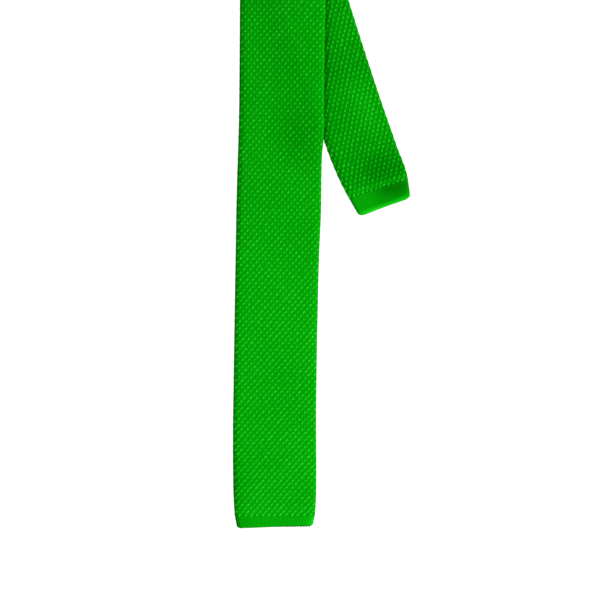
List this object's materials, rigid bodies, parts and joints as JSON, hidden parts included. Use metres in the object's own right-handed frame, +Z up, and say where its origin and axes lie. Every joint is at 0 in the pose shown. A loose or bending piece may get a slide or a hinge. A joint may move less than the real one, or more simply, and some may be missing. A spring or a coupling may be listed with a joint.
{
  "type": "knit tie",
  "caption": "Square-ended knit necktie lying flat, its wide blade over the narrow one and its neck loop open.",
  "frame": {"origin": "on the surface that the tie lies on, under the middle of the whole tie's bounding box", "axes": "+Z up from the surface, +Y from the wide blade's free end towards the neck loop, +X to the right seen from above"},
  "size_m": [0.2304, 0.7738, 0.0069],
  "materials": {
    "knit": "bright green knitted yarn with a small raised stitch, matt with a soft sheen",
    "hem": "the same green yarn in a plain fine knit, smoother than the blades"
  },
  "bodies": {
    "root": {"wide_blade": "knit", "neck_band": "knit", "narrow_blade": "knit", "wide_hem": "hem", "narrow_hem": "hem"}
  },
  "joints": []
}
